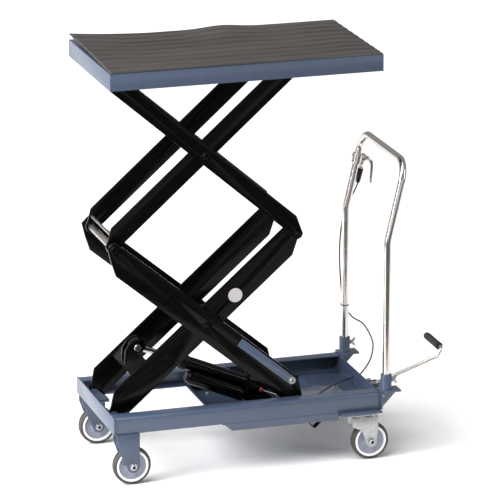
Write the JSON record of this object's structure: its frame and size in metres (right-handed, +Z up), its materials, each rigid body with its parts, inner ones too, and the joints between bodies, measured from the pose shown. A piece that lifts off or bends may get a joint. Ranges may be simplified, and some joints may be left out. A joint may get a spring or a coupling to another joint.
{
  "type": "scissor lift table",
  "caption": "Hand-pushed double scissor lift table on casters, raised by a foot-pumped hydraulic ram, with a rubber-topped platform, push handle and release lever.",
  "frame": {"origin": "on the floor under the middle of the overall length and width", "axes": "+X toward the push handle, +Y toward the far side, +Z up"},
  "size_m": [1.1894, 0.5, 1.3838],
  "materials": {
    "blue_paint": "satin blue-grey paint",
    "black_paint": "gloss black paint",
    "zinc": "bright zinc plate",
    "steel": "bare turned steel",
    "chrome_plate": "polished",
    "grey_rubber": "fine ribbed matt rubber",
    "black_rubber": "matt",
    "wheel_tyre": "moulded tyre on a light hub",
    "dark_plastic": "matt",
    "red_cap": "satin"
  },
  "bodies": {
    "base": {"base_left_end": "blue_paint", "base_right_end": "blue_paint", "base_tray": "blue_paint", "base_rail_near": "blue_paint", "base_rail_far": "blue_paint", "fixed_fork_near": "blue_paint", "fixed_fork_far": "blue_paint", "fixed_axle_near": "zinc", "fixed_axle_far": "zinc", "caster_mount_near": "blue_paint", "caster_mount_far": "blue_paint", "caster_top_plate_near": "zinc", "caster_top_plate_far": "zinc", "handle_socket_near": "blue_paint", "handle_socket_far": "blue_paint", "push_handle": "chrome_plate", "thumb_screw_near": "zinc", "thumb_screw_far": "zinc", "lever_clamp": "chrome_plate", "cable_boot": "black_rubber", "release_cable": "dark_plastic", "linkage_cover": "zinc", "ram_foot_bracket": "blue_paint", "pedal_bracket": "blue_paint"},
    "lower_inner_arms": {"lower_inner_arm_near": "black_paint", "lower_inner_arm_far": "black_paint", "ram_clevis": "black_paint", "clevis_pin": "steel"},
    "lower_outer_arms": {"lower_outer_arm_near": "black_paint", "lower_outer_arm_far": "black_paint", "knuckle_shaft": "steel"},
    "upper_outer_arms": {"upper_outer_arm_near": "black_paint", "upper_outer_arm_far": "black_paint"},
    "upper_inner_arms": {"upper_inner_arm_near": "black_paint", "upper_inner_arm_far": "black_paint", "knuckle_tie_rod": "steel"},
    "platform": {"platform": "blue_paint", "rubber_mat": "grey_rubber"},
    "service_prop": {"service_prop": "blue_paint"},
    "ram": {"ram_barrel": "black_paint", "oil_reservoir": "black_paint"},
    "ram_rod": {"ram_rod": "chrome_plate"},
    "pump_plunger": {"pump_plunger": "steel"},
    "release_valve": {"release_valve": "red_cap"},
    "pedal": {"pedal_arm": "chrome_plate", "pedal_grip": "black_rubber"},
    "pedal_link": {"pedal_link": "steel"},
    "release_lever": {"release_lever": "chrome_plate"},
    "wheel_left_near": {"wheel_left_near": "wheel_tyre"},
    "caster_near": {"caster_fork_near": "zinc", "caster_axle_near": "zinc"},
    "wheel_right_near": {"wheel_right_near": "wheel_tyre"},
    "base_roller_near": {"base_roller_near": "steel"},
    "platform_roller_near": {"platform_roller_near": "steel"},
    "wheel_left_far": {"wheel_left_far": "wheel_tyre"},
    "caster_far": {"caster_fork_far": "zinc", "caster_axle_far": "zinc"},
    "wheel_right_far": {"wheel_right_far": "wheel_tyre"},
    "base_roller_far": {"base_roller_far": "steel"},
    "platform_roller_far": {"platform_roller_far": "steel"}
  },
  "joints": [
    {"name": "lift", "type": "hinge", "parent": "base", "child": "lower_inner_arms", "pos_m": [-0.56075, 0, 0.2045], "axis": [0, 1, 0], "range_deg": [0, 36.45]},
    {"name": "lower_cross", "type": "hinge", "parent": "lower_inner_arms", "child": "lower_outer_arms", "pos_m": [-0.25285, 0, 0.49162], "axis": [0, 1, 0], "range_deg": [-72.9, 0]},
    {"name": "right_knuckle", "type": "hinge", "parent": "lower_inner_arms", "child": "upper_outer_arms", "pos_m": [0.05505, 0, 0.77874], "axis": [0, 1, 0], "range_deg": [-72.9, 0]},
    {"name": "upper_cross", "type": "hinge", "parent": "upper_outer_arms", "child": "upper_inner_arms", "pos_m": [-0.25285, 0, 1.06586], "axis": [0, 1, 0], "range_deg": [0, 72.9]},
    {"name": "platform_pivot", "type": "hinge", "parent": "upper_outer_arms", "child": "platform", "pos_m": [-0.56075, 0, 1.35299], "axis": [0, 1, 0], "range_deg": [0, 36.45]},
    {"name": "ram_tilt", "type": "hinge", "parent": "base", "child": "ram", "pos_m": [0.01025, 0, 0.2], "axis": [0, 1, 0], "range_deg": [-7.57, 0]},
    {"name": "ram_rod_slide", "type": "slide", "parent": "ram", "child": "ram_rod", "axis": [-0.9189, 0, 0.3944], "range_m": [-0.12513, 0]},
    {"name": "service_prop_swing", "type": "hinge", "parent": "lower_outer_arms", "child": "service_prop", "pos_m": [0.03533, -0.1673, 0.28306], "axis": [0, -1, 0], "range_deg": [0, 24]},
    {"name": "wheel_left_near_spin", "type": "hinge", "parent": "base", "child": "wheel_left_near", "pos_m": [-0.52475, -0.21, 0.0635], "axis": [0, 1, 0], "continuous": true},
    {"name": "caster_near_swivel", "type": "hinge", "parent": "base", "child": "caster_near", "pos_m": [0.25425, -0.206, 0.14], "axis": [0, 0, 1], "continuous": true},
    {"name": "wheel_right_near_spin", "type": "hinge", "parent": "caster_near", "child": "wheel_right_near", "pos_m": [0.29325, -0.206, 0.0635], "axis": [0, 1, 0], "continuous": true},
    {"name": "base_roller_near_spin", "type": "hinge", "parent": "lower_outer_arms", "child": "base_roller_near", "pos_m": [0.05505, -0.199, 0.2045], "axis": [0, 1, 0], "continuous": true},
    {"name": "platform_roller_near_spin", "type": "hinge", "parent": "upper_inner_arms", "child": "platform_roller_near", "pos_m": [0.05505, -0.0975, 1.35299], "axis": [0, 1, 0], "continuous": true},
    {"name": "wheel_left_far_spin", "type": "hinge", "parent": "base", "child": "wheel_left_far", "pos_m": [-0.52475, 0.21, 0.0635], "axis": [0, 1, 0], "continuous": true},
    {"name": "caster_far_swivel", "type": "hinge", "parent": "base", "child": "caster_far", "pos_m": [0.25425, 0.206, 0.14], "axis": [0, 0, 1], "continuous": true},
    {"name": "wheel_right_far_spin", "type": "hinge", "parent": "caster_far", "child": "wheel_right_far", "pos_m": [0.29325, 0.206, 0.0635], "axis": [0, 1, 0], "continuous": true},
    {"name": "base_roller_far_spin", "type": "hinge", "parent": "lower_outer_arms", "child": "base_roller_far", "pos_m": [0.05505, 0.199, 0.2045], "axis": [0, 1, 0], "continuous": true},
    {"name": "platform_roller_far_spin", "type": "hinge", "parent": "upper_inner_arms", "child": "platform_roller_far", "pos_m": [0.05505, 0.0975, 1.35299], "axis": [0, 1, 0], "continuous": true},
    {"name": "pedal_pump", "type": "hinge", "parent": "base", "child": "pedal", "pos_m": [0.34325, -0.1, 0.214], "axis": [0, 1, 0], "range_deg": [0, 30], "stiffness_Nm_per_rad": 6, "springref_deg": -34.38},
    {"name": "pedal_link_slide", "type": "slide", "parent": "base", "child": "pedal_link", "axis": [-1, 0, 0], "range_m": [0, 0.0256]},
    {"name": "pump_plunger_slide", "type": "slide", "parent": "ram", "child": "pump_plunger", "axis": [-0.9189, 0, 0.3944], "range_m": [0, 0.0278]},
    {"name": "release_lever_squeeze", "type": "hinge", "parent": "base", "child": "release_lever", "pos_m": [0.41366, 0.212, 0.91424], "axis": [0, 1, 0], "range_deg": [0, 14], "stiffness_Nm_per_rad": 0.8, "springref_deg": -22.92},
    {"name": "release_valve_slide", "type": "slide", "parent": "ram", "child": "release_valve", "axis": [0.9189, 0, -0.3944], "range_m": [0, 0.0041]}
  ],
  "couplings": [
    {"joint": "lower_cross", "follows": "lift", "ratio": -2},
    {"joint": "right_knuckle", "follows": "lift", "ratio": -2},
    {"joint": "upper_cross", "follows": "lift", "ratio": 2},
    {"joint": "platform_pivot", "follows": "lift", "ratio": 1},
    {"joint": "ram_tilt", "follows": "lift", "ratio": -0.2073},
    {"joint": "ram_rod_slide", "follows": "lift", "m_per_rad": -0.19653},
    {"joint": "pedal_link_slide", "follows": "pedal_pump", "m_per_rad": 0.04838},
    {"joint": "pump_plunger_slide", "follows": "pedal_pump", "m_per_rad": 0.05264},
    {"joint": "release_valve_slide", "follows": "release_lever_squeeze", "m_per_rad": 0.01637}
  ]
}
